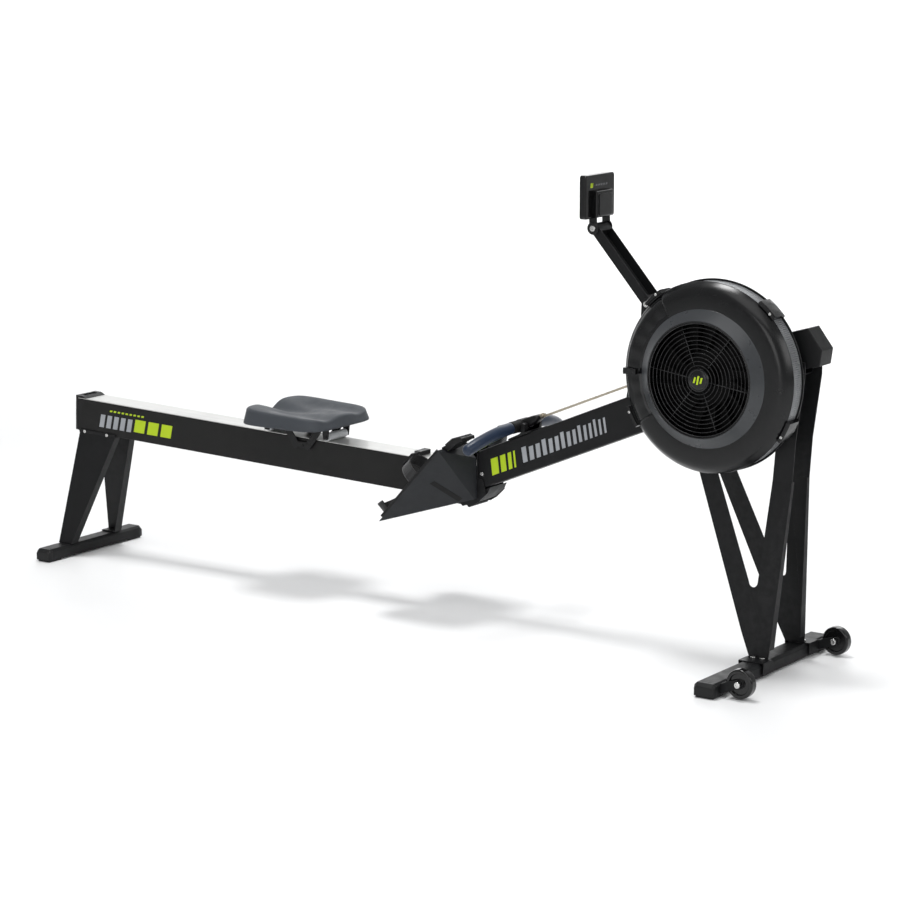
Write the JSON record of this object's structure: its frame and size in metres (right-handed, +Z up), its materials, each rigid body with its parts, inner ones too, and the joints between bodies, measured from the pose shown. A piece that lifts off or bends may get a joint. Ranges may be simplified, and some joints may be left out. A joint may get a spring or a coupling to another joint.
{
  "type": "rowing machine",
  "caption": "Air-resistance rowing machine with a caged fan, sliding seat on a rail, chain-pulled handle, footrests with straps and a display on an arm.",
  "frame": {"origin": "middle of the footprint, on the floor", "axes": "+X towards the fan end, +Z up, the fan on the -Y side of the rail"},
  "size_m": [2.4687, 0.616, 1.221],
  "materials": {
    "arm_bracket": "satin black powder coat",
    "axle_bearings": "nickel plated steel",
    "battery_cover": "satin to gloss black moulding",
    "boom_beam": "satin black powder coat",
    "boom_brackets": "satin black powder coat",
    "boom_end_caps": "fine grained black moulding",
    "caster_wheel_far": "satin to gloss black moulding",
    "caster_wheel_near": "satin to gloss black moulding",
    "chain": "nickel plated steel",
    "chain_guide": "fine grained black moulding",
    "chain_swivel": "nickel plated steel",
    "damper_lever": "fine grained black moulding",
    "flywheel": "steel disc with dark vanes",
    "flywheel_axle": "bright zinc plated steel",
    "foot_boards": "fine grained black moulding",
    "foot_cup_far": "fine grained black moulding",
    "foot_cup_near": "fine grained black moulding",
    "foot_strap_far": "black webbing",
    "foot_strap_near": "black webbing",
    "footrests": "satin black powder coat",
    "frame_bolts": "bright zinc plated steel",
    "front_foot_bar": "satin black powder coat",
    "front_foot_brackets": "satin black powder coat",
    "front_foot_caps": "fine grained black moulding",
    "front_leg_far": "satin black powder coat",
    "front_leg_near": "satin black powder coat",
    "front_shell": "satin to gloss black moulding",
    "grill": "black coated wire",
    "handle_bar": "black rubber",
    "handle_grips": "dark blue grip",
    "handle_hook": "fine grained black moulding",
    "housing_clamps": "fine grained black moulding",
    "monitor_arm": "satin black powder coat",
    "monitor_bezel": "satin to gloss black moulding",
    "monitor_button_1": "grey key",
    "monitor_button_2": "grey key",
    "monitor_button_3": "grey key",
    "monitor_button_4": "grey key",
    "monitor_button_5": "grey key",
    "monitor_case": "satin to gloss black moulding",
    "monitor_pin": "bright zinc plated steel",
    "monitor_screen": "display window",
    "rail_beam": "black anodised extrusion",
    "rail_stops": "fine grained black moulding",
    "rail_track": "brushed stainless steel",
    "rear_bolts": "bright zinc plated steel",
    "rear_foot_bar": "satin black powder coat",
    "rear_foot_caps": "fine grained black moulding",
    "rear_legs": "satin black powder coat",
    "rear_shell": "fine grained black moulding",
    "return_block": "satin black powder coat",
    "return_pulley": "fine grained black moulding",
    "seat_carriage": "fine grained black moulding",
    "seat_roller_front": "white roller",
    "seat_roller_rear": "white roller",
    "seat_top": "slate grey moulded seat",
    "shock_cord": "black rubber",
    "speed_pickup": "fine grained black moulding",
    "sprocket": "nickel plated steel",
    "vent_ring": "grey perforated sheet"
  },
  "bodies": {
    "root": {"arm_bracket": "arm_bracket", "axle_bearings": "axle_bearings", "boom_beam": "boom_beam", "boom_brackets": "boom_brackets", "boom_end_caps": "boom_end_caps", "chain": "chain", "chain_guide": "chain_guide", "flywheel_axle": "flywheel_axle", "foot_boards": "foot_boards", "footrests": "footrests", "frame_bolts": "frame_bolts", "front_foot_bar": "front_foot_bar", "front_foot_brackets": "front_foot_brackets", "front_foot_caps": "front_foot_caps", "front_leg_far": "front_leg_far", "front_leg_near": "front_leg_near", "front_shell": "front_shell", "grill": "grill", "handle_hook": "handle_hook", "housing_clamps": "housing_clamps", "rear_shell": "rear_shell", "shock_cord": "shock_cord", "speed_pickup": "speed_pickup", "vent_ring": "vent_ring"},
    "caster_near": {"caster_wheel_near": "caster_wheel_near"},
    "caster_far": {"caster_wheel_far": "caster_wheel_far"},
    "flywheel_body": {"flywheel": "flywheel"},
    "sprocket_body": {"sprocket": "sprocket"},
    "damper": {"damper_lever": "damper_lever"},
    "return_carriage": {"return_block": "return_block"},
    "return_pulley_body": {"return_pulley": "return_pulley"},
    "handle": {"handle_bar": "handle_bar", "handle_grips": "handle_grips", "chain_swivel": "chain_swivel"},
    "cup_near": {"foot_cup_near": "foot_cup_near", "foot_strap_near": "foot_strap_near"},
    "cup_far": {"foot_cup_far": "foot_cup_far", "foot_strap_far": "foot_strap_far"},
    "rail": {"rail_beam": "rail_beam", "rail_track": "rail_track", "rail_stops": "rail_stops", "rear_foot_bar": "rear_foot_bar", "rear_foot_caps": "rear_foot_caps", "rear_legs": "rear_legs", "rear_bolts": "rear_bolts"},
    "seat": {"seat_top": "seat_top", "seat_carriage": "seat_carriage"},
    "roller_front": {"seat_roller_front": "seat_roller_front"},
    "roller_rear": {"seat_roller_rear": "seat_roller_rear"},
    "arm": {"monitor_arm": "monitor_arm"},
    "monitor": {"monitor_case": "monitor_case", "monitor_pin": "monitor_pin", "battery_cover": "battery_cover", "monitor_bezel": "monitor_bezel", "monitor_screen": "monitor_screen"},
    "key_1": {"monitor_button_1": "monitor_button_1"},
    "key_2": {"monitor_button_2": "monitor_button_2"},
    "key_3": {"monitor_button_3": "monitor_button_3"},
    "key_4": {"monitor_button_4": "monitor_button_4"},
    "key_5": {"monitor_button_5": "monitor_button_5"}
  },
  "joints": [
    {"name": "handle_pull", "type": "slide", "parent": "root", "child": "handle", "axis": [-0.9799, 0, 0.1994], "range_m": [0, 0.95], "stiffness_N_per_m": 18, "springref_m": -1, "deforming": ["chain", "shock_cord"]},
    {"name": "sprocket_spin", "type": "hinge", "parent": "root", "child": "sprocket_body", "pos_m": [0.95548, 0.075, 0.74], "axis": [0, 1, 0], "continuous": true},
    {"name": "return_slide", "type": "slide", "parent": "root", "child": "return_carriage", "axis": [0.9225, 0, 0.3859], "range_m": [0, 0.475]},
    {"name": "return_pulley_spin", "type": "hinge", "parent": "return_carriage", "child": "return_pulley_body", "pos_m": [0.32457, 0.075, 0.44876], "axis": [0, 1, 0], "continuous": true},
    {"name": "fan_spin", "type": "hinge", "parent": "root", "child": "flywheel_body", "pos_m": [0.95548, -0.015, 0.74], "axis": [0, 1, 0], "continuous": true},
    {"name": "damper_turn", "type": "hinge", "parent": "root", "child": "damper", "pos_m": [0.95548, -0.043, 0.74], "axis": [0, 1, 0], "range_deg": [-19, 19]},
    {"name": "rail_release", "type": "slide", "parent": "root", "child": "rail", "axis": [-0.9994, 0, 0.0347], "range_m": [0, 0.12]},
    {"name": "seat_slide", "type": "slide", "parent": "rail", "child": "seat", "axis": [-0.9994, 0, 0.0347], "range_m": [-0.265, 0.655]},
    {"name": "roller_front_spin", "type": "hinge", "parent": "seat", "child": "roller_front", "pos_m": [-0.28652, 0.075, 0.44524], "axis": [0, 1, 0], "continuous": true},
    {"name": "roller_rear_spin", "type": "hinge", "parent": "seat", "child": "roller_rear", "pos_m": [-0.49252, 0.075, 0.45239], "axis": [0, 1, 0], "continuous": true},
    {"name": "foot_cup_near_slide", "type": "slide", "parent": "root", "child": "cup_near", "axis": [0.6756, 0, 0.7373], "range_m": [-0.015, 0.024]},
    {"name": "foot_cup_far_slide", "type": "slide", "parent": "root", "child": "cup_far", "axis": [0.6756, 0, 0.7373], "range_m": [-0.015, 0.024]},
    {"name": "arm_swing", "type": "hinge", "parent": "root", "child": "arm", "pos_m": [0.73748, 0.067, 0.9], "axis": [0, 1, 0], "range_deg": [-25, 15]},
    {"name": "monitor_tilt", "type": "hinge", "parent": "arm", "child": "monitor", "pos_m": [0.57548, 0.067, 1.083], "axis": [0, 1, 0], "range_deg": [-35, 35]},
    {"name": "key_1_press", "type": "slide", "parent": "monitor", "child": "key_1", "axis": [1, 0, 0], "range_m": [0, 0.0015], "stiffness_N_per_m": 300, "springref_m": -0.001},
    {"name": "key_2_press", "type": "slide", "parent": "monitor", "child": "key_2", "axis": [1, 0, 0], "range_m": [0, 0.0015], "stiffness_N_per_m": 300, "springref_m": -0.001},
    {"name": "key_3_press", "type": "slide", "parent": "monitor", "child": "key_3", "axis": [1, 0, 0], "range_m": [0, 0.0015], "stiffness_N_per_m": 300, "springref_m": -0.001},
    {"name": "key_4_press", "type": "slide", "parent": "monitor", "child": "key_4", "axis": [1, 0, 0], "range_m": [0, 0.0015], "stiffness_N_per_m": 300, "springref_m": -0.001},
    {"name": "key_5_press", "type": "slide", "parent": "monitor", "child": "key_5", "axis": [1, 0, 0], "range_m": [0, 0.0015], "stiffness_N_per_m": 300, "springref_m": -0.001},
    {"name": "caster_near_spin", "type": "hinge", "parent": "root", "child": "caster_near", "pos_m": [1.19448, -0.26, 0.04], "axis": [0, 1, 0], "continuous": true},
    {"name": "caster_far_spin", "type": "hinge", "parent": "root", "child": "caster_far", "pos_m": [1.19448, 0.24, 0.04], "axis": [0, 1, 0], "continuous": true}
  ],
  "couplings": [
    {"joint": "sprocket_spin", "follows": "handle_pull", "rad_per_m": -70.42},
    {"joint": "return_slide", "follows": "handle_pull", "ratio": 0.5},
    {"joint": "return_pulley_spin", "follows": "handle_pull", "rad_per_m": 27.78},
    {"joint": "roller_front_spin", "follows": "seat_slide", "rad_per_m": -86.207},
    {"joint": "roller_rear_spin", "follows": "seat_slide", "rad_per_m": -86.207}
  ]
}
